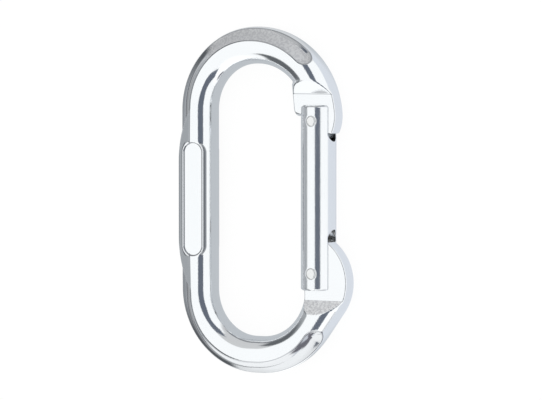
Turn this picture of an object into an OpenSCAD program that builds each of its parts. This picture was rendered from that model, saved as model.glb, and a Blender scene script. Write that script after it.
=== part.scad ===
// Oval carabiner: a forged round-bar body with a sprung solid gate.
// It lies flat on its back face: +Y runs along the spine towards the nose,
// +X from the spine to the gate, and +Z through the thickness.

/* [Body] */
// Outside length, from the top of one arch to the bottom of the other
length = 108; // [100:0.5:116]
// Diameter of the round bar
bar_d = 11.5; // [10.5:0.1:12.5]
// Distance between the bar's centrelines at the spine and at the nose
span = 43.7; // [41:0.1:46]
// Radius of the centreline where the spine turns into the upper arch
up_corner_r = 20.4; // [18:0.1:20.8]
// Radius of the centreline from the top of the upper arch to the nose
up_arch_r = 22.8; // [21.5:0.1:23]
// Radius of the centreline where the spine turns into the lower arch
low_corner_r = 20; // [18:0.1:21]
// Radius of the centreline from the bottom of the lower arch to the flare
low_arch_r = 21.4; // [20.5:0.1:22.5]

/* [Nose] */
// Thickness of the milled nose and hinge plates
plate_t = 5.3; // [4.6:0.1:6]
// Height of the nose plate's lower end above the middle of the body
nose_end_y = 21.2; // [20.6:0.1:22]
// How far the nose flats run on past the gate's head
head_room = 3.4; // [1.5:0.1:5]
// Outer radius of the turn at the end of the nose
nose_turn_r = 12.8; // [11:0.1:15]
// Angle above the arch's centre at which that turn begins
nose_turn_a = 4; // [2:0.5:8]
// How far the lower end of the nose's inner lobe stands in from the bar's centreline
lobe_in = 3.8; // [3:0.1:4.2]
// Height of the lower end of the lobe
lobe_y = 25; // [24.2:0.1:25.8]
// Lean of the lobe towards the spine
lobe_lean = 5.5; // [2:0.5:8]

/* [Hinge end] */
// Depth of the hinge pin below the middle of the body
hinge_y = 22.1; // [21:0.1:23]
// Outer radius of the bulge around the hinge
bulge_r = 16; // [15:0.1:17]
// How far the bulge's centre lies in from the gate's axis
bulge_in = 4.5; // [4:0.1:5]
// How far the bulge's centre lies below the hinge pin
bulge_drop = 3; // [2.4:0.1:3.6]
// Depth at which the hinge flats end
hinge_flat_y = 30.4; // [30:0.1:32]
// Radius of the eye around the hinge pin
eye_r = 4.4; // [3.6:0.1:4.8]
// Height of the top of the hinge plate above the pin
tang_top = 9.9; // [9.6:0.1:10.2]
// Radius of the cam that the plunger rides on
cam_r = 8; // [7.6:0.1:8.2]
// Distance of the cam's centre in from the gate's axis
cam_in = 3; // [2.6:0.1:3.2]
// Height of the cam's centre above the pin
cam_up = 1.9; // [1.6:0.1:2.1]

/* [Milled ramps] */
// Length over which the full bar falls to the flats
ramp_l = 4.4; // [3.5:0.1:6]

/* [Grooves] */
// Depth of the forged groove in the outer half of the bar
groove_depth = 1; // [0.6:0.05:1.3]
// Radius of the groove's round floor
groove_r = 6.5; // [5:0.1:8]
// Direction of the groove from the front of the bar towards its outer edge
groove_a = 35; // [32:1:38]
// How far the upper groove's arc lies above the upper arch
up_rise = 1; // [0.5:0.1:1.6]
// Tilt of the upper groove towards the middle plane
up_tilt = 1.2; // [0.6:0.1:2]
// Angle above the upper arch's centre at which the groove ends
up_end_a = 48; // [44:1:60]
// How far the lower groove's arc lies below the lower arch
low_drop = 2; // [1:0.1:2.6]
// Tilt of the lower groove towards the middle plane
low_tilt = 3; // [1:0.1:4]
// Angle below the lower arch's centre at which the groove ends
low_end_a = 37; // [34:1:50]

/* [Pad] */
// Length of the sunken panel on the spine, outside its rim
pad_l = 36.8; // [30:0.1:42]
// Width of the panel outside its rim
pad_w = 7.7; // [7:0.1:8]
// Width of the rim
rim_w = 0.6; // [0.4:0.05:0.8]
// Height of the rim above the bar's middle plane
rim_h = 5.25; // [5.1:0.05:5.4]
// Depth of the panel's floor below the rim
panel_depth = 0.35; // [0.2:0.05:0.5]
// Half the thickness of the pad's squared outer flank
flank_h = 4.15; // [3.6:0.05:4.4]
// Length of the straight part of the flank
flank_l = 24; // [16:0.5:28]
// Radius by which the flank runs out into the bar
flank_r = 30; // [24:1:40]

/* [Gate] */
// Diameter of the gate
gate_d = 11; // [10:0.1:11.5]
// How far the gate's axis lies in from the nose's centreline
gate_in = 1.9; // [1.5:0.1:2.4]
// Length of the gate above its hinge pin
gate_head = 52.1; // [51.5:0.1:52.6]
// Length of the gate below its hinge pin
gate_tail = 5.3; // [5:0.1:5.8]
// Chamfer at the nose end of the gate
head_chamfer = 0.6; // [0.3:0.1:1]
// Chamfer at the hinge end of the gate
tail_chamfer = 0.5; // [0.3:0.1:1]
// Gap between a milled plate and each wall of its slot
slot_gap = 0.1; // [0.05:0.01:0.2]
// Room in the gate's slot below the nose's end
nose_room = 2.5; // [1.5:0.1:3]
// Distance from the hinge pin to the far end of the hinge slot
hinge_slot_y = 13.5; // [13.3:0.1:14.5]

/* [Pins] */
// Diameter of the hinge pin
hinge_pin_d = 3.4; // [2.8:0.1:3.8]
// Diameter of the latch pin
latch_pin_d = 3.2; // [2.8:0.1:3.4]
// Height of the latch pin above the nose's end
latch_up = 3.9; // [3.6:0.1:4.2]
// Running clearance of the hinge pin in its eye, on radius
pin_gap = 0.04; // [0.02:0.01:0.08]
// Clearance of the latch pin in the nose notch
latch_gap = 0.06; // [0.04:0.01:0.15]
// How far the notch drops behind its tooth
notch_drop = 0.5; // [0.2:0.05:0.7]
// How far a domed pin end stands out of the gate
pin_dome = 0.12; // [0.05:0.01:0.3]

/* [Spring] */
// Diameter of the bore for the spring
bore_d = 4.2; // [3.8:0.1:4.6]
// Length of the bore beyond the hinge slot
bore_l = 20; // [16:0.5:26]
// Diameter of the plunger
plunger_d = 4.04; // [3.7:0.01:4.1]
// Length of the plunger
plunger_l = 10; // [8:0.1:12]
// Gap between the plunger's tip and the cam with the gate shut
plunger_gap = 0.1; // [0.06:0.01:0.2]
// Diameter of the spring wire
wire_d = 0.6; // [0.4:0.05:0.7]
// Number of turns in the spring
turns = 9; // [6:1:12]

/* [Hidden] */
$fn = 96;
// Overlap that carries a cut past the surface it opens
over = 1;
// Points round a bar's section in a swept bar
bar_fn = 64;

bar_r = bar_d / 2;
plate_h = plate_t / 2;
apex_y = length / 2 - bar_r;
up_arch_x = span - up_arch_r;
up_arch_y = apex_y - up_arch_r;
low_arch_x = span - low_arch_r;
low_arch_y = low_arch_r - apex_y;
gate_x = span - gate_in;
gate_r = gate_d / 2;
slot_h = plate_h + slot_gap;
// Half width of the bar's section where the flats cut it
flat_w = sqrt(bar_r * bar_r - plate_h * plate_h);
// A filler between two bars stays just under their crests
filler_h = bar_r - 0.05;
// The lobe's bar is a little thinner than the one it runs into
lobe_r = bar_r - 0.15;
// Two bars that meet end to end overlap a little, and one is a hair thinner
lap = 0.3;
hair = 0.05;
// The ball that rounds off a groove's end is a little larger than the groove
end_swell = 0.05;
// Extra thickness that the flats mill off a plate
allowance = 0.3;

// The turn at the end of the nose shares its tangent with the arch
turn_r = nose_turn_r - bar_r;
turn_x = up_arch_x + (up_arch_r - turn_r) * cos(nose_turn_a);
turn_y = up_arch_y + (up_arch_r - turn_r) * sin(nose_turn_a);
lobe_x = span - lobe_in;

// The lobe's centreline ends where it meets the arch's
lobe_dx = lobe_x - up_arch_x;
lobe_dy = lobe_y - up_arch_y;
lobe_near = lobe_dx * sin(lobe_lean) - lobe_dy * cos(lobe_lean);
lobe_sq = lobe_dx * lobe_dx + lobe_dy * lobe_dy - up_arch_r * up_arch_r;
lobe_l = lobe_near + sqrt(lobe_near * lobe_near - lobe_sq);

// The flare is a straight bar that touches the arch and the bulge
bulge_x = gate_x - bulge_in;
bulge_y = -hinge_y - bulge_drop;
bulge_line_r = bulge_r - bar_r;
flare_dx = bulge_x - low_arch_x;
flare_dy = bulge_y - low_arch_y;
flare_d = norm([flare_dx, flare_dy]);
flare_a = atan2(flare_dy, flare_dx) - acos((low_arch_r + bar_r - bulge_r) / flare_d);
flare_l = sqrt(flare_d * flare_d - pow(low_arch_r + bar_r - bulge_r, 2));
// Angle at which the inner side of the flare runs into the hinge plate
inner_end_a = -10;
// Angle at which the bulge's round edge reaches the top of the hinge plate
bulge_end_a = 56;
tang_y = -hinge_y + tang_top;

// The cutter of a groove lies outside the bar, at a whole number of hundredths
groove_d = bar_r - groove_depth + groove_r;
groove_out = round(100 * groove_d * sin(groove_a)) / 100;
groove_z = round(100 * groove_d * cos(groove_a)) / 100;

pad_end_y = pad_l / 2 - pad_w / 2;
flank_x = bar_r;

nose_flat_y = gate_head - hinge_y + head_room;
nose_slot_y = hinge_y + nose_end_y - nose_room;
// The latch pin's path is an arc round the hinge pin
latch_y = hinge_y + nose_end_y + latch_up;
latch_r = latch_pin_d / 2;
path_gap = latch_gap + 0.08;

// The spring and its plunger in the gate's bore
bore_r = bore_d / 2;
plunger_r = plunger_d / 2;
plunger_tip = cam_up + sqrt(pow(cam_r + plunger_r, 2) - cam_in * cam_in) - plunger_r + plunger_gap;
plunger_top = plunger_tip + plunger_l;
bore_end = hinge_slot_y + bore_l;
spring_l = bore_end - plunger_top;

centre_x = (bulge_x + bulge_r - flank_x) / 2;

// Lays the part on its back face with its middle over the origin
module lay() {
    translate([-centre_x, 0, bar_r])
        children();
}

// Places children at the hinge pin's centre
module at_hinge() {
    translate([gate_x, -hinge_y, 0])
        children();
}

// A round bar of radius r bent round [x, y] on a line of radius line_r, from angle a to b
module bent_bar(x, y, line_r, a, b, r = bar_r) {
    translate([x, y, 0])
        rotate([0, 0, a])
            rotate_extrude(angle = b - a)
                translate([line_r, 0])
                    circle(r, $fn = bar_fn);
}

// A straight round bar from [x, y] in direction a
module straight_bar(x, y, a, l, r = bar_r) {
    translate([x, y, 0])
        rotate([0, 0, a])
            rotate([0, 90, 0])
                cylinder(h = l, r = r, $fn = bar_fn);
}

// A flat plate of half thickness h with the outline given as children
module plate(h) {
    translate([0, 0, -h])
        linear_extrude(height = 2 * h)
            children();
}

// A point on a circle
function on(x, y, r, a) = [x + r * cos(a), y + r * sin(a)];

// Half of the loop, in the upper half plane: the spine from y = 0, its corner, the apex and the arch.
// The line lies out from the bar's centreline, and thin is taken off the straight pieces.
module half_loop(corner_r, arch_r, rise, out, r, end_a, thin = 0) {
    y = apex_y + rise;
    ends = lap * sign(thin);
    straight_bar(-out, 0, 90, y - corner_r + ends, r - thin);
    bent_bar(corner_r, y - corner_r, corner_r + out, 90, 180, r);
    straight_bar(corner_r - ends, y + out, 0, span - arch_r - corner_r + 2 * ends, r - thin);
    translate([span - arch_r, y - arch_r])
        mirror([1, 0, 0])
            bent_bar(0, 0, arch_r + out, 90, 180 - end_a, r);
}

// The spine and both arches; the lower one goes on along the inner side of the flare
module bar_loop() {
    half_loop(up_corner_r, up_arch_r, 0, 0, bar_r, nose_turn_a);
    mirror([0, 1, 0])
        half_loop(low_corner_r, low_arch_r, 0, 0, bar_r, -inner_end_a);
}

// The nose turns in on a smaller radius and widens inwards to a lobe
module nose() {
    bent_bar(turn_x, turn_y, turn_r, -70, nose_turn_a + 1, bar_r - hair);
    straight_bar(lobe_x, lobe_y, 90 + lobe_lean, lobe_l, lobe_r);
    plate(plate_h + allowance) {
        nose_outline();
        polygon([
            [lobe_x, lobe_y],
            on(turn_x, turn_y, turn_r, -25),
            on(turn_x, turn_y, turn_r, 0),
            on(up_arch_x, up_arch_y, up_arch_r, 12),
            on(up_arch_x, up_arch_y, up_arch_r, 24),
            on(lobe_x, lobe_y, 9.5, 90 + lobe_lean)
        ]);
    }
}

// The tongue in the gate's slot, with its tooth below the latch pin
module nose_outline() {
    tooth_r = 0.9;
    tooth_x = gate_x - latch_r - 1.6;
    translate([tooth_x, nose_end_y + tooth_r])
        circle(tooth_r);
    polygon([
        [tooth_x, nose_end_y],
        [turn_x + turn_r, nose_end_y],
        on(turn_x, turn_y, turn_r, 0),
        [lobe_x, lobe_y],
        [tooth_x - tooth_r, nose_end_y + 2 * tooth_r],
        [tooth_x - tooth_r, nose_end_y + tooth_r]
    ]);
}

// The flare from the arch to the bulge round the hinge
module flare() {
    start = on(low_arch_x, low_arch_y, low_arch_r, flare_a);
    translate([start[0], start[1], 0])
        rotate([0, 0, 90 + flare_a])
            straight_bar(-lap, 0, 0, flare_l + 2 * lap, bar_r - hair);
    bent_bar(bulge_x, bulge_y, bulge_line_r, flare_a, bulge_end_a);
    plate(filler_h)
        polygon([
            on(low_arch_x, low_arch_y, low_arch_r, flare_a + 2),
            on(bulge_x, bulge_y, bulge_line_r, flare_a),
            on(bulge_x, bulge_y, bulge_line_r, flare_a / 2),
            on(bulge_x, bulge_y, bulge_line_r, 0),
            on(low_arch_x, low_arch_y, low_arch_r, inner_end_a),
            on(low_arch_x, low_arch_y, low_arch_r, inner_end_a * 2)
        ]);
    plate(plate_h + allowance)
        tang_outline();
}

// The hinge plate: the eye, the cam for the plunger and the bulge beside them
module tang_outline() {
    at_hinge_2d()
        circle(eye_r);
    intersection() {
        at_hinge_2d()
            translate([-cam_in, cam_up])
                circle(cam_r);
        at_hinge_2d()
            translate([-eye_r, 0])
                square([2 * cam_r, 2 * cam_r]);
    }
    intersection() {
        translate([bulge_x, bulge_y])
            circle(bulge_line_r + bar_r / 2);
        polygon([
            [gate_x - eye_r, -hinge_y],
            on(low_arch_x, low_arch_y, low_arch_r - flat_w, inner_end_a),
            on(low_arch_x, low_arch_y, low_arch_r - bar_r / 2, inner_end_a * 2),
            [bulge_x + bulge_r, -hinge_flat_y - ramp_l],
            [bulge_x + bulge_r, tang_y],
            [gate_x + plunger_r + 0.4, tang_y],
            [gate_x + plunger_r + 0.4, -hinge_y],
            [gate_x, -hinge_y]
        ]);
    }
}

module at_hinge_2d() {
    translate([gate_x, -hinge_y])
        children();
}

// Rounded slot of length l and width w along Y
module racetrack(l, w) {
    half = (l - w) / 2;
    for (s = [-1, 1])
        translate([0, s * half])
            circle(w / 2);
    square([w, 2 * half], center = true);
}

// The squared outer flank of the pad, which runs out into the bar at both ends
module flank_outline() {
    intersection() {
        union() {
            for (s = [-1, 1])
                translate([flank_r - flank_x, s * flank_l / 2])
                    circle(flank_r, $fn = 240);
            translate([-flank_x, -flank_l / 2])
                square([flank_x, flank_l]);
        }
        translate([-flank_x, -span / 2])
            square([flank_x, span]);
    }
}

module pad() {
    plate(rim_h)
        racetrack(pad_l, pad_w);
    plate(flank_h)
        flank_outline();
}

module panels() {
    floor_h = rim_h - panel_depth;
    for (s = [0, 1])
        mirror([0, 0, s])
            translate([0, 0, floor_h])
                linear_extrude(height = bar_r)
                    racetrack(pad_l - 2 * rim_w, pad_w - 2 * rim_w);
}

// Half of the groove's cutter: along the spine, round an arch and out at its far end
module groove_cutter(corner_r, arch_r, rise, tilt, end_a) {
    translate([0, pad_end_y, groove_z])
        rotate([-tilt, 0, 0])
            translate([0, -pad_end_y, 0]) {
                half_loop(corner_r, arch_r, rise, groove_out, groove_r, end_a - 1, hair);
                translate(on(span - arch_r, apex_y + rise - arch_r, arch_r + groove_out, end_a))
                    sphere(groove_r + end_swell);
            }
}

// The forged grooves, front and back; the lower ones sit further round the bar
module grooves() {
    for (s = [0, 1])
        mirror([0, 0, s]) {
            groove_cutter(up_corner_r, up_arch_r, up_rise, up_tilt, up_end_a);
            mirror([0, 1, 0])
                groove_cutter(low_corner_r, low_arch_r, low_drop, low_tilt, low_end_a);
        }
}

// Mills both faces of the nose and the hinge plate, with a ramp up to the full bar
module flats() {
    deep = bar_r + over;
    run = ramp_l * (deep - plate_h) / (bar_r - plate_h);
    inner_x = span * 2 / 3;
    for (s = [0, 1])
        mirror([0, 0, s])
            translate([inner_x, 0, 0])
                rotate([90, 0, 90])
                    linear_extrude(height = span)
                        polygon([
                            [nose_flat_y, plate_h],
                            [nose_flat_y + run, deep],
                            [-hinge_flat_y - run, deep],
                            [-hinge_flat_y, plate_h]
                        ]);
}

// Trims the end of the nose and the top of the hinge plate level
module gate_gap() {
    translate([span * 2 / 3, tang_y, -bar_r])
        cube([span, nose_end_y - tang_y, bar_d]);
}

// The notch that takes the latch pin: its path round the hinge, and a drop behind the tooth
module latch_notch() {
    wide = latch_r + path_gap;
    at_hinge()
        plate(bar_r) {
            intersection() {
                difference() {
                    circle(latch_y + wide, $fn = 240);
                    circle(latch_y - wide, $fn = 240);
                }
                translate([-bar_d, latch_y - bar_r])
                    square([bar_d, bar_d]);
            }
            translate([0, latch_y])
                circle(latch_r + latch_gap);
            translate([0, latch_y - notch_drop])
                circle(latch_r + latch_gap);
        }
}

module body() {
    color("gainsboro")
        lay()
            difference() {
                union() {
                    difference() {
                        union() {
                            bar_loop();
                            nose();
                            flare();
                        }
                        grooves();
                    }
                    pad();
                }
                panels();
                flats();
                gate_gap();
                latch_notch();
                at_hinge()
                    cylinder(h = 2 * bar_d, r = hinge_pin_d / 2 + pin_gap, center = true);
            }
}

// Milled slot with a round end, from the gate's end at y to its far end at y_end
module slot(y, y_end) {
    s = sign(y_end - y);
    round_y = y_end - s * slot_h;
    translate([-gate_d, min(y, round_y), -slot_h])
        cube([2 * gate_d, abs(round_y - y), 2 * slot_h]);
    translate([-gate_d, round_y, 0])
        rotate([0, 90, 0])
            cylinder(h = 2 * gate_d, r = slot_h);
}

module gate() {
    shaft = gate_head + gate_tail - head_chamfer - tail_chamfer;
    color("whitesmoke")
        lay()
            at_hinge()
                difference() {
                    rotate([-90, 0, 0]) {
                        translate([0, 0, -gate_tail])
                            cylinder(h = tail_chamfer, r1 = gate_r - tail_chamfer, r2 = gate_r);
                        translate([0, 0, tail_chamfer - gate_tail])
                            cylinder(h = shaft, r = gate_r);
                        translate([0, 0, gate_head - head_chamfer])
                            cylinder(h = head_chamfer, r1 = gate_r, r2 = gate_r - head_chamfer);
                    }
                    slot(gate_head + over, nose_slot_y);
                    slot(-gate_tail - over, hinge_slot_y);
                    for (pin = [[0, hinge_pin_d], [latch_y, latch_pin_d]])
                        translate([0, pin[0], 0])
                            cylinder(h = 2 * gate_d, d = pin[1], center = true);
                    rotate([-90, 0, 0]) {
                        cylinder(h = bore_end, r = bore_r);
                        translate([0, 0, bore_end])
                            cylinder(h = bore_r / 2, r1 = bore_r, r2 = 0);
                    }
                }
}

// A pin of diameter d through the gate, with both ends slightly domed
module pin(d) {
    half = gate_r + pin_dome;
    // The dome falls by half its own height above the gate at its edge
    fall = pin_dome / 2;
    dome_r = (d * d / 4 + fall * fall) / (2 * fall);
    intersection() {
        cylinder(h = 2 * half, d = d, center = true);
        translate([0, 0, half - dome_r])
            sphere(dome_r, $fn = 200);
        translate([0, 0, dome_r - half])
            sphere(dome_r, $fn = 200);
    }
}

module hinge_pin() {
    color("silver")
        lay()
            at_hinge()
                pin(hinge_pin_d);
}

module latch_pin() {
    color("silver")
        lay()
            at_hinge()
                translate([0, latch_y, 0])
                    pin(latch_pin_d);
}

// The plunger that the spring presses on the cam: round tip below, shoulder above
module plunger() {
    peg_l = 2;
    peg_r = plunger_r - wire_d - 0.25;
    color("dimgray")
        lay()
            at_hinge()
                rotate([-90, 0, 0]) {
                    translate([0, 0, plunger_tip + plunger_r]) {
                        sphere(plunger_r);
                        cylinder(h = plunger_l - plunger_r, r = plunger_r);
                        cylinder(h = plunger_l - plunger_r + peg_l, r = peg_r);
                    }
                }
}

// The spring's wire, swept round its coil with flat end turns
function coil_z(t) =
    let (full = spring_l - wire_d - 0.1, closed = wire_d * 1.05)
    t < 1 ? closed * t
    : t > turns - 1 ? full - closed * (turns - t)
    : closed + (full - 2 * closed) * (t - 1) / (turns - 2);

module gate_spring() {
    per_turn = 14;
    sides = 6;
    coil_r = plunger_r - wire_d / 2 - 0.05;
    rings = turns * per_turn;
    points = [
        for (i = [0:rings])
            for (j = [0:sides - 1])
                let (
                    t = i / per_turn,
                    a = 360 * t,
                    b = 360 * j / sides,
                    r = coil_r + wire_d / 2 * cos(b)
                )
                [r * cos(a), r * sin(a), coil_z(t) + wire_d / 2 * (1 + sin(b))]
    ];
    sweep = [
        for (i = [0:rings - 1])
            for (j = [0:sides - 1])
                let (k = (j + 1) % sides)
                [i * sides + j, i * sides + k, (i + 1) * sides + k, (i + 1) * sides + j]
    ];
    first = [for (j = [sides - 1:-1:0]) j];
    last = [for (j = [0:sides - 1]) rings * sides + j];
    color("slategray")
        lay()
            at_hinge()
                rotate([-90, 0, 0])
                    translate([0, 0, plunger_top + 0.05])
                        polyhedron(points = points, faces = concat([first], sweep, [last]));
}

body();
gate();
hinge_pin();
latch_pin();
plunger();
gate_spring();
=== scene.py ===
# %% [markdown]
# # An oval carabiner, dressed for its portrait
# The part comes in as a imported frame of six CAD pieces: body, gate, two pins, plunger and spring.
# Here each visible piece gets a mesh that is smooth enough for a polish, and a finish like the real metal.
# A polished bar shows every flat in its mesh, so the CAD triangles are replaced and not only repainted.

# %% The frame and its sizes
import math

import bmesh
import bpy
from mathutils import Matrix, Vector


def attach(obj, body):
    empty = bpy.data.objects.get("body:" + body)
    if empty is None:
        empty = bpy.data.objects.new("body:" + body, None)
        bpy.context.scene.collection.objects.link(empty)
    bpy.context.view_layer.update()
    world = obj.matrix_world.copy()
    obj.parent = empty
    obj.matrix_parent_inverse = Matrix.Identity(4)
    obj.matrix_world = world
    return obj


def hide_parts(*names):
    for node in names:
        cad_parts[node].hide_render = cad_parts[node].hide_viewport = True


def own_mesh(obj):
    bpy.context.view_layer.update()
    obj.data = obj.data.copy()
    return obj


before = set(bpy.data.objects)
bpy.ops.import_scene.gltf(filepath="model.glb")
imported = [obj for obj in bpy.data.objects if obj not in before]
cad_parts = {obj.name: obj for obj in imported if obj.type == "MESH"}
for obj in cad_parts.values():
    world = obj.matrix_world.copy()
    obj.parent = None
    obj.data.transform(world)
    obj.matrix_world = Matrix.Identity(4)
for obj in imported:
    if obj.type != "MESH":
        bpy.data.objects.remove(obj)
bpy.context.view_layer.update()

# %% [markdown]
# ## The camera
# The photograph was taken from well off with a long lens, so nothing narrows with distance.
# The camera looks down on the lying part, 28 degrees round towards the gate, and the spine stands upright
# in the picture. A constraint could aim it. Here its three axes are written out as vectors, because they
# were worked out by setting the oval's usual proportions against those in the picture.

# %% Camera
CAMERA_RIGHT = Vector((0.88, 0.0, -0.474)).normalized()
CAMERA_BACK = Vector((0.4733, 0.0522, 0.8788)).normalized()
CAMERA_UP = CAMERA_BACK.cross(CAMERA_RIGHT)
CAMERA_DISTANCE = 1.5
SENSOR_WIDTH = 0.036
PICTURE_WIDTH = 542
PIXELS_PER_METRE = 3212
# The point in the middle of the picture: its height above the floor, and its way right and up from there
AIM_HEIGHT, AIM_RIGHT, AIM_UP = 0.00575, 0.00115, 0.00005


def put_in_scene(name, data):
    """An object in the scene that holds this mesh or camera."""
    added = bpy.data.objects.new(name, data)
    bpy.context.collection.objects.link(added)
    return added


camera_data = bpy.data.cameras.new("camera")
camera_data.sensor_width = SENSOR_WIDTH * 1000
camera_data.lens = PIXELS_PER_METRE * CAMERA_DISTANCE * SENSOR_WIDTH / PICTURE_WIDTH * 1000
camera_data.clip_end = 10
camera = put_in_scene("camera", camera_data)
bpy.context.scene.camera = camera
aim = Vector((0, 0, AIM_HEIGHT)) + CAMERA_RIGHT * AIM_RIGHT + CAMERA_UP * AIM_UP
axes = Matrix((CAMERA_RIGHT, CAMERA_UP, CAMERA_BACK)).transposed()
camera.matrix_world = Matrix.Translation(aim + CAMERA_BACK * CAMERA_DISTANCE) @ axes.to_4x4()
print("lens, mm:", round(camera_data.lens, 1))

# %% [markdown]
# ## Sums that become nodes
# Shapes and finishes below are both written as sums, such as the distance from a bent line less the
# bar's radius. Blender's nodes do that arithmetic, but long chains of them are hard to write by hand and to
# read. A small class wraps a socket, so that `a + b` in Python adds the Math node and returns its output.

# %% The class for a node's value
class Value:
    """A number, vector or colour on a node's socket."""

    def __init__(self, tree, socket=None):
        self.tree = tree
        self.socket = socket

    def node(self, kind, sockets=None, output=0, **settings):
        """Adds a node: its settings first, then its sockets' values or links."""
        added = self.tree.nodes.new(kind)
        for name, setting in settings.items():
            setattr(added, name, setting)
        for name, value in (sockets or {}).items():
            if isinstance(value, Value):
                self.tree.links.new(value.socket, added.inputs[name])
            else:
                added.inputs[name].default_value = value
        return Value(self.tree, added.outputs[output] if added.outputs else None)

    def maths(self, operation, *values):
        return self.node("ShaderNodeMath", dict(enumerate(values)), operation=operation)

    def __add__(self, other):
        return self.maths("ADD", self, other)

    __radd__ = __add__

    def __sub__(self, other):
        return self.maths("SUBTRACT", self, other)

    def __rsub__(self, other):
        return self.maths("SUBTRACT", other, self)

    def __mul__(self, other):
        return self.maths("MULTIPLY", self, other)

    __rmul__ = __mul__

    def __truediv__(self, other):
        return self.maths("DIVIDE", self, other)

    def __rtruediv__(self, other):
        return self.maths("DIVIDE", other, self)

    def __neg__(self):
        return self.maths("MULTIPLY", self, -1.0)

    def __abs__(self):
        return self.maths("ABSOLUTE", self)

    def __lt__(self, other):
        return self.maths("LESS_THAN", self, other)

    def __gt__(self, other):
        return self.maths("GREATER_THAN", self, other)


def least(a, *others):
    for b in others:
        a = a.maths("MINIMUM", a, b)
    return a


def most(a, *others):
    for b in others:
        a = a.maths("MAXIMUM", a, b)
    return a


def length(a, b):
    return a.maths("SQRT", a * a + b * b)


def either(choice, a, b):
    """a where choice is 1, and b where it is 0."""
    return b + choice * (a - b)


# %% [markdown]
# ## Edges and corners
# A forged and tumbled part has no knife edges. Where two forms meet, the metal leaves a small fillet.
# Each form below is a distance: below zero inside the metal, above zero outside it.
# Two distances then join or cut each other with a fillet of a chosen radius, which a Bevel modifier can't
# do on a body whose forms run into each other.

# %% Joining and cutting with a fillet
def join(a, b, fillet):
    """Both forms, with a fillet in the hollow between them."""
    near = length(most(fillet - a, 0.0), most(fillet - b, 0.0))
    return most(least(a, b), fillet) - near


def keep_both(a, b, fillet):
    """What lies in both forms, with its edge rounded."""
    past = length(most(a + fillet, 0.0), most(b + fillet, 0.0))
    return least(most(a, b), -fillet) + past


def cut(a, b, fillet):
    """The first form less the second, with its edge rounded."""
    return keep_both(a, -b, fillet)


# %% [markdown]
# The oval is made of straight lines and arcs. These helpers give the distance from a point or an arc, and
# turn the axes, so that a slanted form can be written as if it stood straight.

# %% Distances in the plane
def turned(x, y, degrees):
    """Coordinates seen from axes turned by an angle."""
    c = math.cos(math.radians(degrees))
    s = math.sin(math.radians(degrees))
    return x * c + y * s, y * c - x * s


def from_point(x, y, point):
    return length(x - point[0], y - point[1])


def from_arc(x, y, centre, radius, start, end):
    """Distance from an arc between two angles."""
    half = math.radians((end - start) / 2)
    u, v = turned(x - centre[0], y - centre[1], (start + end) / 2)
    v = abs(v)
    on_arc = v * math.cos(half) < u * math.sin(half)
    to_end = length(u - radius * math.cos(half), v - radius * math.sin(half))
    return either(on_arc, abs(length(u, v) - radius), to_end)


def on_circle(centre, radius, degrees):
    angle = math.radians(degrees)
    return centre[0] + radius * math.cos(angle), centre[1] + radius * math.sin(angle)


# %% [markdown]
# ## The body
# The real body starts as a round bar of 11.5 mm, bent to an oval and forged in a die.
# The die leaves grooves beside the crown of each arch, a sunken panel on the spine and a bulge round the
# hinge. Two cutters then mill the nose and the hinge end to a tongue, up to a sloping ramp.
# Each step is one form here, in millimetres, measured from the spine's centreline and the body's middle.

# %% Sizes of the body, in millimetres
BAR_R = 5.75
PLATE_H = 2.65
APEX_Y = 48.25
SPAN = 43.7
UP_CORNER_R, UP_ARCH_R = 20.4, 22.8
LOW_CORNER_R, LOW_ARCH_R = 20.0, 21.4
UP_ARCH = (SPAN - UP_ARCH_R, APEX_Y - UP_ARCH_R)
LOW_ARCH = (SPAN - LOW_ARCH_R, LOW_ARCH_R - APEX_Y)
ARCH_END_A = -10
# Where the corners at the spine give way to the arches, and where the milled side begins
CORNER_END_X = 20.65
OPEN_SIDE_X = SPAN * 2 / 3
GATE_X = 41.8
HINGE_Y = -22.1
NOSE_END_Y, NOSE_FLAT_Y = 21.2, 33.4
HINGE_FLAT_Y = -30.4
TANG_TOP_Y = -12.2
RAMP_LENGTH = 4.4
RAMP_SLOPE = (BAR_R - PLATE_H) / RAMP_LENGTH
NOSE_TURN_R = 12.8 - BAR_R
NOSE_TURN_A, NOSE_TURN_END_A = 4, -70
NOSE_TURN = on_circle(UP_ARCH, UP_ARCH_R - NOSE_TURN_R, NOSE_TURN_A)
NOSE_FROM_X = 30.0
LOBE = (39.9, 25.0)
LOBE_A, LOBE_LENGTH, LOBE_R = 95.5, 12.0, BAR_R - 0.15
BULGE = (GATE_X - 4.5, HINGE_Y - 3)
BULGE_R = 16 - BAR_R
# The hinge plate's eye, and the round cam on it that the plunger rides on
EYE_R = 4.4
CAM = (GATE_X - 3, HINGE_Y + 1.9)
CAM_R, CAM_SIDE = 8.0, 2.42
# From the hinge pin to the latch pin, and the room that each needs in the body
LATCH_Y = 47.2
PIN_ROOM, SEAT_ROOM = 1.74, 1.66
# The spine's centreline in the frame, and the height of the body's middle above the floor
SPINE_X = -23.775
MIDDLE_Z = 5.75


def flare_line():
    """Angle and length of the straight line that touches the lower arch and the bulge."""
    dx, dy = BULGE[0] - LOW_ARCH[0], BULGE[1] - LOW_ARCH[1]
    apart = math.hypot(dx, dy)
    gap = LOW_ARCH_R - BULGE_R
    return math.degrees(math.atan2(dy, dx) - math.acos(gap / apart)), math.sqrt(apart**2 - gap**2)


FLARE_A, FLARE_LENGTH = flare_line()
print("flare: degrees", round(FLARE_A, 2), "length, mm", round(FLARE_LENGTH, 2))


# %% [markdown]
# The oval's four corners have different radii, as the photograph shows: the top is rounder towards the nose.
# A curve with a bevel could sweep the bar, but a distance can be joined and cut with fillets afterwards.
# A point's distance from such an outline needs only the corner that it is nearest to.

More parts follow.
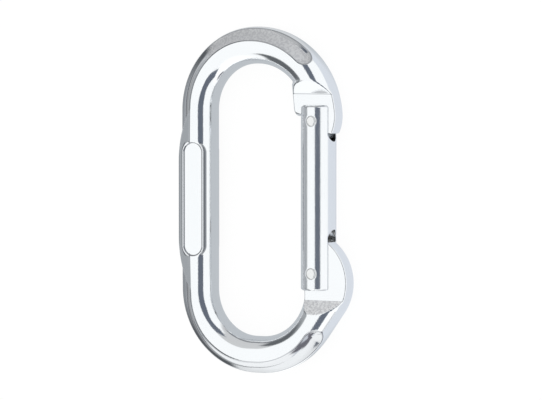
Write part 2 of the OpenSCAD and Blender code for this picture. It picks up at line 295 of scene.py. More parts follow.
# %% The oval line
def oval(x, y, upper):
    """Distance outwards from the bar's centreline, seen from one half of the oval."""
    left = x < CORNER_END_X
    corner = either(upper, UP_CORNER_R, LOW_CORNER_R)
    arch = either(upper, UP_ARCH_R, LOW_ARCH_R)
    radius = either(left, corner, arch)
    across = either(left, corner - x, x - SPAN + arch)
    along = y - APEX_Y + radius
    return length(most(across, 0.0), most(along, 0.0)) + least(most(across, along), 0.0) - radius


# %% [markdown]
# The groove on each face is what a round tool leaves that follows the oval a little outside the crown.
# So the same distance, taken further out and higher, gives the line of the tool. The tool's plane leans by
# a degree or three, which lets the groove fade out at the spine, and on the open side it stops at an angle.

# %% The groove along the oval
GROOVE_R = 6.5
GROOVE_OUT, GROOVE_Z = 6.45, 9.22
UP_LEAN_A, LOW_LEAN_A = 1.2, 3
UP_END_A, LOW_END_A = 48, 37
PAD_END_Y = 14.55


def groove(x, y, z):
    """Distance from the tool that left the grooves, front and back."""
    upper = y > 0.0
    lean_sin = either(upper, math.sin(math.radians(UP_LEAN_A)), math.sin(math.radians(LOW_LEAN_A)))
    lean_cos = either(upper, math.cos(math.radians(UP_LEAN_A)), math.cos(math.radians(LOW_LEAN_A)))
    # The tool's path is moved 1 mm up on the upper half, and 2 mm down on the lower half
    rise = 2.0 - upper
    along, up = abs(y) - PAD_END_Y, abs(z) - GROOVE_Z
    tool_y = lean_cos * along - lean_sin * up + PAD_END_Y - rise
    tool_z = lean_sin * along + lean_cos * up
    off_line = abs(oval(x, tool_y, upper) - GROOVE_OUT)
    ends = []
    for centre, radius, end in (
        (UP_ARCH, UP_ARCH_R, UP_END_A),
        ((LOW_ARCH[0], -LOW_ARCH[1]), LOW_ARCH_R, LOW_END_A),
    ):
        aside = turned(x - centre[0], tool_y - centre[1], end)[1]
        past_end = (aside < 0.0) * (x > centre[0])
        ends.append((past_end, from_point(x, tool_y, on_circle(centre, radius + GROOVE_OUT, end))))
    past_end = either(upper, ends[0][0], ends[1][0])
    to_end = either(upper, ends[0][1], ends[1][1])
    return length(either(past_end, to_end, off_line), tool_z) - GROOVE_R


# %% [markdown]
# The nose turns in on a smaller radius than the arch, and a lobe widens it towards the inside.
# The hinge end flares out from the arch to a bulge, and the metal between the two is filled.
# All of that is bar-thick. The flats come later, as cuts.

# %% Bars of the body
def bars(x, y, z):
    upper = y > 0.0
    off_oval = oval(x, abs(y), upper)
    # The turn takes over from the arch at the line through both centres
    aside = turned(x - NOSE_TURN[0], y - NOSE_TURN[1], NOSE_TURN_A)[1]
    in_turn = (aside < 0.0) * (x > NOSE_FROM_X) * upper
    off_turn = from_arc(x, y, NOSE_TURN, NOSE_TURN_R, NOSE_TURN_END_A, NOSE_TURN_A)
    # The lower arch's own bar ends where it runs into the hinge plate
    past_arch = turned(x - LOW_ARCH[0], y - LOW_ARCH[1], ARCH_END_A)[1]
    past_arch = (past_arch > 0.0) * (x > LOW_ARCH[0]) * (y < 0.0)
    off_end = from_point(x, y, on_circle(LOW_ARCH, LOW_ARCH_R, ARCH_END_A))
    # The flare's edge is the touching line, and then the bulge's circle
    start = on_circle(LOW_ARCH, LOW_ARCH_R, FLARE_A)
    outwards, along = turned(x - start[0], y - start[1], FLARE_A)
    ends = most(-along, along - FLARE_LENGTH)
    strip = length(most(outwards, 0.0), most(ends, 0.0)) + least(most(outwards, ends), 0.0)
    flare = least(strip, from_point(x, y, BULGE) - BULGE_R)
    filled = most(flare, -off_oval, LOW_ARCH[0] - x, 0.0)
    low = most(filled, 100.0 * upper)
    off_line = either(past_arch, off_end, abs(off_oval))
    line = least(either(in_turn, off_turn, off_line), low)
    bar = length(line, z) - BAR_R
    # The turn's bar ends flat
    past_turn = turned(x - NOSE_TURN[0], y - NOSE_TURN[1], NOSE_TURN_END_A)[1]
    bar = either(in_turn, most(bar, -past_turn), bar)
    u, v = turned(x - LOBE[0], y - LOBE[1], LOBE_A)
    lobe = keep_both(length(v, z) - LOBE_R, most(-u, u - LOBE_LENGTH), 0.4)
    return join(bar, lobe, 1.0)


# %% [markdown]
# The milled tongue of the nose ends in a tooth under the latch pin, and the hinge plate carries the eye of
# the hinge pin. Both are plates, a little thicker than the flats leave them, so that the flats give one
# level face.

# %% Plates of the body
TOOTH_R, TOOTH_X, TONGUE_TOP_Y = 0.9, 38.6, 26.0
# A point on each plate's slanting edge, and the direction square to that edge
TONGUE_EDGE, TONGUE_EDGE_OUT = (37.7, 23.0), (0.673, 0.740)
HINGE_EDGE_X, HINGE_EDGE_OUT = 37.4, (0.992, 0.125)


def plates(x, y, z):
    thick = abs(z) - PLATE_H - 0.3
    floor, side = NOSE_END_Y + TOOTH_R - y, TOOTH_X - x
    corner = length(most(floor, 0.0), most(side, 0.0)) + least(most(floor, side), 0.0) - TOOTH_R
    slant = (TONGUE_EDGE[0] - x) * TONGUE_EDGE_OUT[0] + (y - TONGUE_EDGE[1]) * TONGUE_EDGE_OUT[1]
    tongue = most(corner, slant, x - NOSE_TURN[0] - NOSE_TURN_R, y - TONGUE_TOP_Y)
    eye = from_point(x, y, (GATE_X, HINGE_Y)) - EYE_R
    cam = most(from_point(x, y, CAM) - CAM_R, GATE_X - EYE_R - x, HINGE_Y - y)
    disc = from_point(x, y, BULGE) - BULGE_R - BAR_R / 2
    beside = most(disc, GATE_X + CAM_SIDE - x)
    slant = (HINGE_EDGE_X - x) * HINGE_EDGE_OUT[0] - (y - HINGE_Y) * HINGE_EDGE_OUT[1]
    below = most(disc, y - HINGE_Y, slant)
    return most(least(tongue, eye, cam, beside, below), thick)


# %% [markdown]
# The cutters take both faces down to the plates and leave a ramp where they lift. They also clear the gap
# for the gate, the space round the cam, and the notch through which the latch pin swings.

# %% Flats and notches of the body
CAM_GAP_X, CAM_GAP_Y = 32.0, 1.0
NOTCH_WIDTH, NOTCH_LOW_Y = 11.5, 19.35
SEAT_Y, DROP_Y = 25.1, 24.6


def flats(x, y, z):
    """Distance from the metal that the cutters take off both faces."""
    over = PLATE_H - abs(z)
    square = 1 / math.hypot(1, RAMP_SLOPE)
    up = (over + (y - NOSE_FLAT_Y) * RAMP_SLOPE) * square
    down = (over + (HINGE_FLAT_Y - y) * RAMP_SLOPE) * square
    return most(over, up, down, OPEN_SIDE_X - x)


def gate_gap(x, y):
    return most(y - NOSE_END_Y, TANG_TOP_Y - y, OPEN_SIDE_X - x)


def cam_gap(x, y):
    """The space above the hinge plate in which the plunger slides."""
    off_cam = most(CAM_R - from_point(x, y, CAM), x - GATE_X - CAM_SIDE)
    off_eye = most(EYE_R - from_point(x, y, (GATE_X, HINGE_Y)), x - GATE_X + EYE_R)
    return most(least(off_cam, off_eye), HINGE_Y - y, CAM_GAP_X - x, y - CAM_GAP_Y)


def latch_notch(x, y):
    """The pin's path round the hinge, and the drop behind the tooth."""
    path = abs(from_point(x, y, (GATE_X, HINGE_Y)) - LATCH_Y) - PIN_ROOM
    path = most(path, x - GATE_X, GATE_X - NOTCH_WIDTH - x, NOTCH_LOW_Y - y)
    seat = from_point(x, y, (GATE_X, SEAT_Y)) - SEAT_ROOM
    drop = from_point(x, y, (GATE_X, DROP_Y)) - SEAT_ROOM
    return least(path, seat, drop)


# %% [markdown]
# The spine carries a raised pad with a sunken panel in a thin rim, and its outer flank is pressed flat.
# The panel is left plain.

# %% The pad on the spine
PAD_R, PAD_H = 3.85, 5.25
PANEL_R, PANEL_H = 3.25, 4.9
FLANK_X, FLANK_R, FLANK_END_Y = 24.25, 29.95, 12.0
FLANK_H, FLANK_EDGE_X = 4.15, 0.6
FLANK_DRAFT = 0.3


def pad(x, y, z):
    past = most(abs(y) - PAD_END_Y, 0.0)
    raised = keep_both(length(x, past) - PAD_R, abs(z) - PAD_H, 0.15)
    flank = length(x - FLANK_X, most(abs(y) - FLANK_END_Y, 0.0)) - FLANK_R
    # The die's draft lets the flank's faces fall away outwards from the bar's crest
    face = (abs(z) - FLANK_H - (x + BAR_R) * FLANK_DRAFT) / math.hypot(1, FLANK_DRAFT)
    flank = keep_both(flank, most(face, x + FLANK_EDGE_X), 0.4)
    return raised, flank


def panel(x, y, z):
    past = most(abs(y) - PAD_END_Y, 0.0)
    return most(length(x, past) - PANEL_R, PANEL_H - abs(z))


# %% [markdown]
# The whole body follows the order of the real work: first what the die forges, joined, and then what the
# cutters take away. The last number in each line is that edge's fillet in millimetres: larger where a die
# or the tumbling rounded it, smaller where a cutter left it crisp.

# %% The whole body as one distance
LOBE_END_X, LOBE_END_GROWTH, LOBE_END_R = 38.0, 0.6, 2.2


def body_form(x, y, z):
    forged = join(bars(x, y, z), plates(x, y, z), 0.5)
    forged = cut(forged, groove(x, y, z), 0.25)
    raised, flank = pad(x, y, z)
    forged = join(join(forged, flank, 0.2), raised, 0.25)
    milled = cut(forged, panel(x, y, z), 0.08)
    milled = cut(milled, flats(x, y, z), 0.18)
    milled = cut(milled, gate_gap(x, y), 0.3)
    milled = cut(milled, cam_gap(x, y), 0.2)
    # The lobe's lower end is round where the pin comes in, so the notch's fillet grows towards it
    growth = least(most(LOBE_END_X - x, 0.0) * LOBE_END_GROWTH, LOBE_END_R)
    milled = cut(milled, latch_notch(x, y), 0.15 + growth)
    return cut(milled, from_point(x, y, (GATE_X, HINGE_Y)) - PIN_ROOM, 0.1)


# %% [markdown]
# ## From a distance to a mesh
# Geometry Nodes fill a grid with the form's distance, and Volume to Mesh lays a skin where it crosses zero.
# The tree is built by name, with its sizes as inputs, and runs on an empty object. Its result becomes a
# plain mesh, and the modifier goes with the object that carried it.

# %% Start a tree, and take its result
def start_tree(name, inputs):
    """An empty Geometry Nodes tree with named inputs, and its group input as a Value per input."""
    tree = bpy.data.node_groups.new(name, "GeometryNodeTree")
    tree.interface.new_socket("Geometry", in_out="OUTPUT", socket_type="NodeSocketGeometry")
    for title, (kind, default) in inputs.items():
        socket = tree.interface.new_socket(title, in_out="INPUT", socket_type=kind)
        if default is not None:
            socket.default_value = default
    group = tree.nodes.new("NodeGroupInput")
    return tree, {title: Value(tree, group.outputs[title]) for title in inputs}


def mesh_from_tree(name, tree, values):
    """Runs a tree on an empty object and returns its result as a plain mesh object."""
    carrier = put_in_scene(name + "_carrier", bpy.data.meshes.new(name + "_carrier"))
    modifier = carrier.modifiers.new(name, "NODES")
    modifier.node_group = tree
    for item in tree.interface.items_tree:
        if item.in_out == "INPUT" and item.name in values:
            modifier[item.identifier] = values[item.name]
    depsgraph = bpy.context.evaluated_depsgraph_get()
    mesh = bpy.data.meshes.new_from_object(carrier.evaluated_get(depsgraph))
    mesh.name = name
    bpy.data.objects.remove(carrier)
    return put_in_scene(name, mesh)


# %% [markdown]
# A skin from a grid is slightly uneven, which a polish would show. So each point is then moved along its
# normal by most of the distance that is left there, three times over, until it lies on the true surface.
# The grid's spacing decides the count of faces.

# %% Make a mesh of a form
METRES = (0.001, 0.001, 0.001)
SETTLING_STEPS, SETTLING_SHARE = 3, 0.9
FAR_OUTSIDE = -5.0


def skin_of_form(name, form, low, high, spacing, material):
    """Meshes a form between two corners of a box, given in millimetres in the frame."""
    tree, inputs = start_tree(
        name + "_skin",
        {"Spacing": ("NodeSocketFloat", spacing), "Material": ("NodeSocketMaterial", None)},
    )
    start = Value(tree)
    parts = {"Vector": start.node("GeometryNodeInputPosition")}
    x, y, z = (start.node("ShaderNodeSeparateXYZ", parts, output=axis) for axis in "XYZ")
    distance = form(x - SPINE_X, y, z - MIDDLE_Z)
    grid = {"Density": -distance, "Background": FAR_OUTSIDE, "Min": low, "Max": high}
    for axis, a, b in zip("XYZ", low, high):
        count = (b - a) / inputs["Spacing"]
        grid["Resolution " + axis] = count.maths("ROUND", count)
    volume = start.node("GeometryNodeVolumeCube", grid)
    geometry = start.node("GeometryNodeVolumeToMesh", {"Volume": volume, "Threshold": 0.0})
    normal = start.node("GeometryNodeInputNormal")
    for _ in range(SETTLING_STEPS):
        reach = {0: normal, "Scale": -distance * SETTLING_SHARE}
        step = start.node("ShaderNodeVectorMath", reach, operation="SCALE")
        geometry = start.node("GeometryNodeSetPosition", {"Geometry": geometry, "Offset": step})
    geometry = start.node("GeometryNodeTransform", {"Geometry": geometry, "Scale": METRES})
    geometry = start.node("GeometryNodeSetShadeSmooth", {"Geometry": geometry})
    geometry = start.node("GeometryNodeRealizeInstances", {"Geometry": geometry})
    painted = {"Geometry": geometry, "Material": inputs["Material"]}
    geometry = start.node("GeometryNodeSetMaterial", painted)
    start.node("NodeGroupOutput", {0: geometry})
    piece = mesh_from_tree(name, tree, {"Spacing": spacing, "Material": material})
    print(name, "faces:", len(piece.data.polygons), "nodes in its tree:", len(tree.nodes))
    return piece


# %% [markdown]
# ## The metals' finishes
# The body and gate are an aluminium alloy, polished by tumbling: bright, with faint wear and a soft grain.
# An image could carry such wear, but noises on the object's own coordinates need no unwrapping and stay
# sharp at any distance. First come the helpers that every finish shares.

# %% Helpers for finishes
def empty_material(name):
    """A material without nodes, and the Value that its tree starts from."""
    material = bpy.data.materials.new(name)
    material.use_nodes = True
    material.node_tree.nodes.clear()
    return material, Value(material.node_tree)


def soft_step(value, width):
    """0 below zero and 1 above it, over a soft width."""
    return least(most(value / width + 0.5, 0.0), 1.0)


def mixed(factor, a, b):
    """Colour a where the factor is 0, and b where it is 1."""
    return factor.node("ShaderNodeMix", {0: factor, 6: a, 7: b}, output=2, data_type="RGBA")


def object_millimetres(start):
    """The object's coordinates, and the same in millimetres as the forms measure them."""
    place = start.node("ShaderNodeTexCoord", output="Object")
    parts = {"Vector": place}
    x, y, z = (start.node("ShaderNodeSeparateXYZ", parts, output=axis) * 1000.0 for axis in "XYZ")
    return place, x - SPINE_X, y, z - MIDDLE_Z


def noise(start, place, size, detail=3.0):
    """A noise between 0 and 1 whose blobs are about this many millimetres across."""
    sockets = {"Vector": place, "Scale": 1000 / size, "Detail": detail}
    return start.node("ShaderNodeTexNoise", sockets, noise_dimensions="3D")


# %% [markdown]
# Wear varies the gloss in clouds of about a centimetre, and a fine grain lifts the surface by a hair.
# Where the die's skin was never polished, the metal is rough, mottled and a little less like a mirror.

# %% Metal finish
CLOUD_SIZE, GRAIN_SIZE, MOTTLE_SIZE = 9.0, 0.3, 0.7
CLOUD_SHADE = 0.9
POLISH_GRAIN = 0.12
DULL_ROUGHNESS, DULL_METAL_LOSS = 0.45, 0.25
DULL_COLOUR = (0.82, 0.82, 0.83, 1)
DULL_LIGHT = (1.0, 1.0, 1.0, 1)
# Painted shade: the colour that narrow corners and creases are darkened towards in the base colour
CORNER_SHADE_PAINT = (0.30, 0.31, 0.33, 1)


def metal(name, colour, roughness, marks=None):
    """A polished metal, with a dull skin and painted corner shade where the function of its marks says so.
    """
    material, start = empty_material(name)
    place, x, y, z = object_millimetres(start)
    # The second mark is painted shade in narrow corners
    skin, corner = marks(x, y, z) if marks else (None, None)
    cloud = noise(start, place, CLOUD_SIZE)
    speckle = noise(start, place, GRAIN_SIZE, 2.0)
    worn = roughness + (cloud - 0.5) * roughness * 0.8
    relief = speckle * POLISH_GRAIN
    metallic = 1.0
    shade = mixed(cloud * 0.25, colour, tuple(CLOUD_SHADE * c for c in colour))
    if skin:
        worn = either(skin, DULL_ROUGHNESS + speckle * 0.15, worn)
        relief = either(skin, speckle, relief)
        metallic = 1.0 - skin * DULL_METAL_LOSS
        patches = soft_step(noise(start, place, MOTTLE_SIZE, 1.0) - 0.5, 0.1)
        shade = mixed(skin, shade, mixed(patches, DULL_COLOUR, DULL_LIGHT))
        # Painted shade: the corner mask darkens the base colour
        shade = mixed(corner, shade, CORNER_SHADE_PAINT)
    bump = start.node("ShaderNodeBump", {"Strength": 0.5, "Distance": 0.0001, "Height": relief})
    shader = start.node(
        "ShaderNodeBsdfPrincipled",
        {"Base Color": shade, "Metallic": metallic, "Roughness": worn, "Normal": bump},
    )
    start.node("ShaderNodeOutputMaterial", {"Surface": shader})
    return material


# %% [markdown]
# The floor of the upper groove and the ramp over the hinge kept their dull skin, and narrow corners are
# darkened with painted shade. The same distances that shaped the body say where these marks are,
# so finish and form can't part.

# %% Marks on the body
# The grooves and the milled side, as far as their marks go
GROOVE_FROM_Y, MILLED_FROM_X = 17.0, 29.2
DULL_FROM_X, DULL_SOFT = 4.5, 3.0
# Where the groove's outer wall begins, and the line past which it is polished more and more
WALL_OUT, WALL_FROM_X, WALL_GROWTH = 4.35, 30.0, 0.25
PANEL_CORNER_R, PAD_FOOT_R, FLANK_CORNER_X = 3.15, 3.95, 5.6
PAD_MARKS_END_Y, FLANK_MARKS_END_Y = 19.2, 15.0


def near_line(off_line, half, width):
    """1 within half a line's width of it, and 0 further off."""
    return soft_step(half - abs(off_line), width)


def body_marks(x, y, z):
    """The dull floor of the upper groove and the hinge ramps, and painted shade in narrow corners."""
    from_tool = groove(x, y, z)
    forged = soft_step(0.08 - from_tool, 0.08) * soft_step(x - DULL_FROM_X, DULL_SOFT) * (y > GROOVE_FROM_Y)
    # Towards the nose the groove's outer wall is polished
    out = oval(x, abs(y), y > 0.0)
    wall = out - WALL_OUT - most(WALL_FROM_X - x, 0.0) * WALL_GROWTH
    forged = forged * (1.0 - soft_step(wall, 0.15))
    run = (abs(z) - PLATE_H) / RAMP_SLOPE
    on_ramp = near_line(y - HINGE_FLAT_Y + run, 0.1, 0.05) * (y < HINGE_FLAT_Y - 0.15)
    on_ramp = on_ramp * (x > MILLED_FROM_X)
    # Thin lines of painted shade beside the groove, round the panel and at the foot of the pad
    beside = near_line(from_tool - 0.11, 0.11, 0.1) * (abs(y) > GROOVE_FROM_Y)
    pad_x = length(x, most(abs(y) - PAD_END_Y, 0.0))
    panel_corner = near_line(pad_x - PANEL_CORNER_R, 0.2, 0.1) * (abs(z) > 4.7) * (abs(z) < 5.15)
    pad_foot = near_line(pad_x - PAD_FOOT_R, 0.3, 0.15) * (abs(z) > 3.6) * (abs(z) < 5.1)
    pad_foot = pad_foot * (abs(y) < PAD_MARKS_END_Y)
    flank_edge = near_line(x + FLANK_CORNER_X, 0.35, 0.15) * (abs(z) > 3.4) * (abs(y) < FLANK_MARKS_END_Y)
    ramp_foot = near_line(y - NOSE_FLAT_Y, 0.14, 0.08) * (x > MILLED_FROM_X) * (abs(z) > 2.5)
    # These lines are painted shade, which darkens the base colour in corners and creases
    corners = beside * 0.7 + panel_corner + pad_foot + flank_edge * 0.8 + ramp_foot * 0.5
    return most(forged, on_ramp), least(corners, 1.0)


# %% [markdown]
# The five metals differ in colour and gloss. The body shines most, the drawn rod of the gate a little less,
# and the steel pieces are greyer and duller.

# %% The five metals
POLISH_COLOUR = (0.95, 0.96, 0.97, 1)
polished = metal("polished_aluminium", POLISH_COLOUR, roughness=0.10, marks=body_marks)
gate_polish = metal("drawn_aluminium", POLISH_COLOUR, roughness=0.16)
pin_steel = metal("pin_steel", (0.88, 0.88, 0.87, 1), roughness=0.24)
plunger_steel = metal("plunger_steel", (0.55, 0.54, 0.52, 1), roughness=0.32)
spring_steel = metal("spring_wire", (0.45, 0.45, 0.46, 1), roughness=0.35)
for finish in (polished, gate_polish, pin_steel, plunger_steel, spring_steel):
    print(finish.name, "nodes:", len(finish.node_tree.nodes))

# %% [markdown]
# ## The body, skinned
# The box is a little larger than the body, so that the grid's outer layer is all outside the metal.
# The spacing keeps the piece under 200,000 triangles.

# %% Body
BODY_BOX = (-30.6, -54.9, -0.9), (30.6, 54.9, 12.4)
BODY_SPACING = 0.33
body = skin_of_form("forged_body", body_form, *BODY_BOX, BODY_SPACING, polished)
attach(body, "frame")
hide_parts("body")

# %% [markdown]
# ## The gate
# The real gate is a solid rod with a slot milled into each end, drilled for its pins and for the spring.
# Its form is a round bar cut by two stadiums, with a flat chamfer at each end.

# %% Gate
GATE_R = 5.5
HEAD_Y, TAIL_Y = 52.1, -5.3
HEAD_CHAMFER, TAIL_CHAMFER = 0.6, 0.5
SLOT_H, NOSE_SLOT_Y, HINGE_SLOT_Y = 2.75, 40.8, 13.5
HINGE_PIN_R, LATCH_PIN_R = 1.7, 1.6
BORE_R, BORE_END_Y = 2.1, 33.5
SLOT_EDGE, BORE_EDGE = 0.12, 0.1
GATE_BOX = (12.0, -28.2, -0.2), (24.1, 30.8, 11.7)
GATE_SPACING = 0.22


def gate_form(x, y, z):
    across, along = x - GATE_X, y - HINGE_Y
    from_axis = length(across, z)
    side, head, tail = from_axis - GATE_R, along - HEAD_Y, TAIL_Y - along
    chamfers = most(side + head + HEAD_CHAMFER, side + tail + TAIL_CHAMFER) * math.sqrt(0.5)
    rod = most(side, head, tail, chamfers)
    nose_slot = length(most(NOSE_SLOT_Y + SLOT_H - along, 0.0), z) - SLOT_H
    hinge_slot = length(most(along - HINGE_SLOT_Y + SLOT_H, 0.0), z) - SLOT_H
    rod = cut(cut(rod, nose_slot, SLOT_EDGE), hinge_slot, SLOT_EDGE)
    holes = least(
        from_point(across, along, (0, 0)) - HINGE_PIN_R,
        from_point(across, along, (0, LATCH_Y)) - LATCH_PIN_R,
    )
    rod = cut(rod, holes, SLOT_EDGE)
    bore = most(from_axis - BORE_R, along - BORE_END_Y)
    return cut(rod, bore, BORE_EDGE)


gate = skin_of_form("gate_rod", gate_form, *GATE_BOX, GATE_SPACING, gate_polish)
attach(gate, "gate")
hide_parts("gate")

# %% [markdown]
# ## The pins
# Both pins are pressed through the gate, ground flush and slightly domed.
# One function gives the form of either, so that they differ only in place and radius.

# %% Pins
PIN_PROUD, DOME_FALL = 0.12, 0.18
PIN_SPACING = 0.12


def pin_form(centre, radius):
    half = GATE_R + PIN_PROUD
    dome_r = (radius**2 + DOME_FALL**2) / (2 * DOME_FALL)

    def form(x, y, z):
        from_axis = from_point(x, y, centre)
        dome = length(from_axis, abs(z) - half + dome_r) - dome_r
        return keep_both(from_axis - radius + 0.02, dome, 0.3)

    return form


def pin_box(centre, radius):
    x, y, r = centre[0] + SPINE_X, centre[1], radius + 0.5
    return (x - r, y - r, -0.5), (x + r, y + r, 12.0)


for node, centre, radius in (
    ("hinge_pin", (GATE_X, HINGE_Y), HINGE_PIN_R),
    ("latch_pin", (GATE_X, HINGE_Y + LATCH_Y), LATCH_PIN_R),
):
    box = pin_box(centre, radius)
    pin = skin_of_form(node + "_steel", pin_form(centre, radius), *box, PIN_SPACING, pin_steel)
    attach(pin, "gate")
    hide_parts(node)

# %% [markdown]
# ## The plunger
# The plunger is a small round-nosed piece that the spring presses against the hinge plate.
# It could be spun from a profile. As a form it takes the same path as the other pieces.

# %% Plunger
PLUNGER_R, PLUNGER_NOSE_Y, PLUNGER_END_Y = 2.02, 11.56, 19.54
PEG_R, PEG_START_Y, PEG_END_Y = 1.17, 12.0, 21.54
PLUNGER_SPACING = 0.15
PLUNGER_BOX = (
    (GATE_X + SPINE_X - 2.4, HINGE_Y + 9.0, 3.2),
    (GATE_X + SPINE_X + 2.4, HINGE_Y + 22.2, 8.3),
)


def plunger_form(x, y, z):
    across, along = length(x - GATE_X, z), y - HINGE_Y
    nose = length(across, most(PLUNGER_NOSE_Y - along, 0.0)) - PLUNGER_R
    head = keep_both(nose, along - PLUNGER_END_Y, 0.15)
    peg = most(across - PEG_R, along - PEG_END_Y, PEG_START_Y - along)
    return least(head, peg)


plunger = skin_of_form("plunger_turned", plunger_form, *PLUNGER_BOX, PLUNGER_SPACING, plunger_steel)
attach(plunger, "plunger")
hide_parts("plunger")

# %% [markdown]
# ## The spring
# The spring lies deep in the gate's bore, and the plunger squeezes it as the gate opens. The CAD coil is
# fine enough, but its triangles are loose. So a copy is merged and made smooth, and takes the finish of
# drawn wire.

# %% Spring
MERGE_DISTANCE = 1e-6
coil = bmesh.new()
coil.from_mesh(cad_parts["gate_spring"].data)
bmesh.ops.remove_doubles(coil, verts=coil.verts, dist=MERGE_DISTANCE)
coil_mesh = bpy.data.meshes.new("spring_coil")
coil.to_mesh(coil_mesh)
coil.free()
coil_mesh.shade_smooth()
coil_mesh.materials.clear()
coil_mesh.materials.append(spring_steel)
spring = put_in_scene("spring_coil", coil_mesh)
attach(spring, "gate")
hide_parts("gate_spring")
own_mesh(spring)

# %% [markdown]
# ## The studio
# Polished metal shows its surroundings, so the surroundings are most of its look.
# The camera sees pure white, and matt surfaces are lit by a plain white dome. Glossy rays see tones that go
# by direction: white tents at both sides, a dark wall at the left with a paler one behind it, a grey top, a
# dark skirting near the floor, and at the bottom a bright low lamp and a small dark window.
# The tones were fitted until the polish agreed with the photograph from the camera, so from other sides
# they only stand for some studio.

# %% World
WHITE = (1.0, 1.02, 1.03, 1)
LAMP_WHITE = (1.18, 1.20, 1.21, 1)
TOP_GREY = (0.61, 0.62, 0.63, 1)
WINDOW_DARK = (0.20, 0.20, 0.23, 1)
WALL_GREY = (0.36, 0.38, 0.40, 1)
WALL_DARK = (0.12, 0.13, 0.14, 1)
WALL_BEHIND = (0.52, 0.54, 0.57, 1)
SKIRTING_DARK = (0.18, 0.19, 0.21, 1)
# The window's direction in the camera's axes, right, up and back, and how near to it a ray has to look
WINDOW, WINDOW_NEAR = (0.357, -0.913, 0.198), 0.987
world = bpy.data.worlds.new("studio")
bpy.context.scene.world = world
world.use_nodes = True
world.node_tree.nodes.clear()
start = Value(world.node_tree)
direction = start.node("ShaderNodeTexCoord", output="Generated")


def towards(vector):
    """How far a ray's direction goes along a vector, from -1 to 1."""
    sockets = {0: direction, 1: tuple(vector)}
    return start.node("ShaderNodeVectorMath", sockets, output="Value", operation="DOT_PRODUCT")


right, up, back = towards(CAMERA_RIGHT), towards(CAMERA_UP), towards(CAMERA_BACK)
above_floor = towards((0, 0, 1))
off_level = abs(up)
left_side = soft_step(-right - 0.45, 0.15) * soft_step(0.15 - back, 0.07)
left_side = left_side * soft_step(0.74 - up, 0.08) * soft_step(up + 0.72, 0.06)
behind = soft_step(-back - 0.16 - off_level * 0.5, 0.1)
top_wall = soft_step(up - 0.86 + least(most(-right - 0.05, 0.0) * 1.2, 0.34), 0.07)
window = soft_step(right * WINDOW[0] + up * WINDOW[1] + back * WINDOW[2] - WINDOW_NEAR, 0.012)
skirting = soft_step(0.14 - above_floor, 0.08) * soft_step(0.2 - right, 0.1) * soft_step(up + 0.5, 0.1)
low_lamp = soft_step(-up - 0.8, 0.2) * soft_step(right + 0.5, 0.2)
tent = mixed(low_lamp, WHITE, LAMP_WHITE)
tent = mixed(top_wall, tent, TOP_GREY)
tent = mixed(window, tent, WINDOW_DARK)
left_wall = mixed(soft_step(off_level - 0.25, 0.2), WALL_GREY, WALL_DARK)
tent = mixed(left_side, tent, mixed(behind, left_wall, WALL_BEHIND))
tent = mixed(skirting, tent, SKIRTING_DARK)
colour = mixed(start.node("ShaderNodeLightPath", output="Is Glossy Ray"), (1, 1, 1, 1), tent)
colour = mixed(start.node("ShaderNodeLightPath", output="Is Camera Ray"), colour, (1, 1, 1, 1))
background = start.node("ShaderNodeBackground", {"Color": colour, "Strength": 1.0})
start.node("ShaderNodeOutputWorld", {"Surface": background})
print("nodes of the world:", len(world.node_tree.nodes))

# %% [markdown]
# The slate band that the photograph shows along every round bar is a card here, which hangs between the
# part and the camera. It is close, so the gate and the spine show it in different places, which a world
# can't do. Only glossy rays meet it, so it takes no light away and hides nothing.

# %% Slate card
CARD_DISTANCE = 0.26
SLATE = (0.13, 0.15, 0.19, 1)
# Height on the card, and its left and right edge there, in metres as the camera sees them
CARD_ROWS = (
    (0.294, -0.130, -0.020),
    (0.120, -0.130, 0.000),
    (0.066, -0.108, 0.056),
    (-0.066, -0.104, 0.058),
    (-0.120, -0.125, 0.030),
    (-0.330, -0.080, 0.060),
)
card_middle = aim + CAMERA_BACK * CARD_DISTANCE
corners, faces = [], []
for rise, left, right_side in CARD_ROWS:
    for across in (left, right_side):
        corners.append(card_middle + CAMERA_RIGHT * across + CAMERA_UP * rise)
for row in range(len(CARD_ROWS) - 1):
    faces.append((2 * row, 2 * row + 1, 2 * row + 3, 2 * row + 2))
card_mesh = bpy.data.meshes.new("slate_card")
card_mesh.from_pydata(corners, [], faces)
card = put_in_scene("slate_card", card_mesh)
for ray in ("camera", "diffuse", "transmission", "volume_scatter", "shadow"):
    setattr(card, "visible_" + ray, False)
slate, start = empty_material("slate")
dark = start.node("ShaderNodeEmission", {"Color": SLATE, "Strength": 1.0})
start.node("ShaderNodeOutputMaterial", {"Surface": dark})
card_mesh.materials.append(slate)
print("card faces:", len(faces))

# %% [markdown]
# The floor is a white sheet. The camera sees it nearly as bright as the background, with a faint shadow
# left. The metal sees it in greys that go by place: one grey under the part, paler above it and on the
# gate's side, darker on the spine's side, bright below it, and two dark patches at its foot that carry on
# the dark wall and the window. These too were fitted to the photograph's one view.

# %% Floor
FLOOR_R, SHEET_GLOW, SHEET_SHARE = 1.2, 1.03, 0.9
PAPER = (0.9, 0.9, 0.9, 1)
FLOOR_GREY = (0.53, 0.56, 0.59, 1)
LEFT_GREY = (0.42, 0.43, 0.44, 1)
ABOVE_GREY = (0.66, 0.68, 0.70, 1)
RIGHT_GREY = (0.72, 0.76, 0.82, 1)
# How far out each grey begins, in millimetres from the spine's centreline and the part's middle
RIGHT_X, LEFT_X, BELOW_X = 44.0, 27.0, 18.0
BELOW_Y, ABOVE_Y = 53.0, 54.0
DARK_SPOT, DARK_SPOT_R = (-32.0, -56.0), 9.0
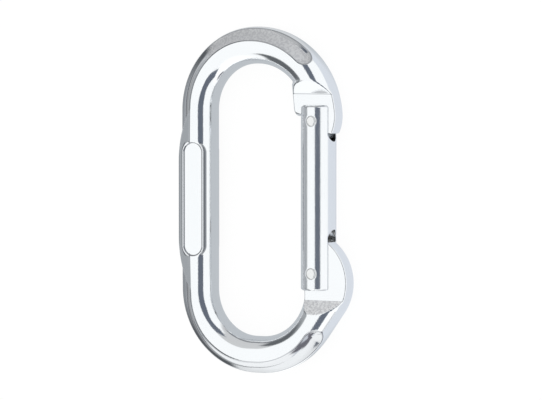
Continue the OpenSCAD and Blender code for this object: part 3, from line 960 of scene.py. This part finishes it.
# The strip that carries on the window: its start, direction, half width and growth
STRIP_START, STRIP_A, STRIP_HALF, STRIP_GROWTH = (40.0, -66.0), -64, 6.0, 0.15
floor_mesh = bpy.data.meshes.new("floor")
disc = bmesh.new()
bmesh.ops.create_circle(disc, cap_ends=True, segments=64, radius=FLOOR_R)
disc.to_mesh(floor_mesh)
disc.free()
floor = put_in_scene("floor", floor_mesh)
sheet, start = empty_material("floor_sheet")
_, x, y, _ = object_millimetres(start)
right_of_part = soft_step(x - RIGHT_X, 12.0)
left_of_part = soft_step(-x - LEFT_X, 3.0)
below_part = soft_step(-y - BELOW_Y, 3.0) * soft_step(x + BELOW_X, 6.0)
above_part = soft_step(y - ABOVE_Y, 4.0)
dark_spot = 1.0 - soft_step(from_point(x, y, DARK_SPOT) - DARK_SPOT_R, 4.0)
away, aside = turned(x - STRIP_START[0], y - STRIP_START[1], STRIP_A)
below_window = soft_step(STRIP_HALF + away * STRIP_GROWTH - abs(aside), 4.0) * soft_step(away, 4.0)
grey = mixed(left_of_part, FLOOR_GREY, LEFT_GREY)
grey = mixed(above_part, grey, ABOVE_GREY)
grey = mixed(below_part, grey, LAMP_WHITE)
grey = mixed(dark_spot, grey, WALL_DARK)
grey = mixed(right_of_part, grey, RIGHT_GREY)
grey = mixed(below_window, grey, WINDOW_DARK)
seen = start.node("ShaderNodeLightPath", output="Is Camera Ray")
glossy = start.node("ShaderNodeLightPath", output="Is Glossy Ray")
paper = start.node("ShaderNodeBsdfDiffuse", {"Color": PAPER})
lit = start.node("ShaderNodeEmission", {"Color": (1, 1, 1, 1), "Strength": SHEET_GLOW})
mirrored = start.node("ShaderNodeEmission", {"Color": grey, "Strength": 1.0})
white = start.node("ShaderNodeMixShader", {0: SHEET_SHARE, 1: paper, 2: lit})
surface = start.node("ShaderNodeMixShader", {0: seen, 1: paper, 2: white})
surface = start.node("ShaderNodeMixShader", {0: glossy, 1: surface, 2: mirrored})
start.node("ShaderNodeOutputMaterial", {"Surface": surface})
floor_mesh.materials.append(sheet)
print("nodes of the floor:", len(sheet.node_tree.nodes))

# %% [markdown]
# ## The view transform
# The view transform stays Standard, so a colour renders as it is written.
# The dressed part may not be larger than the CAD part.

# %% The view transform
bpy.context.scene.view_settings.view_transform = "Standard"
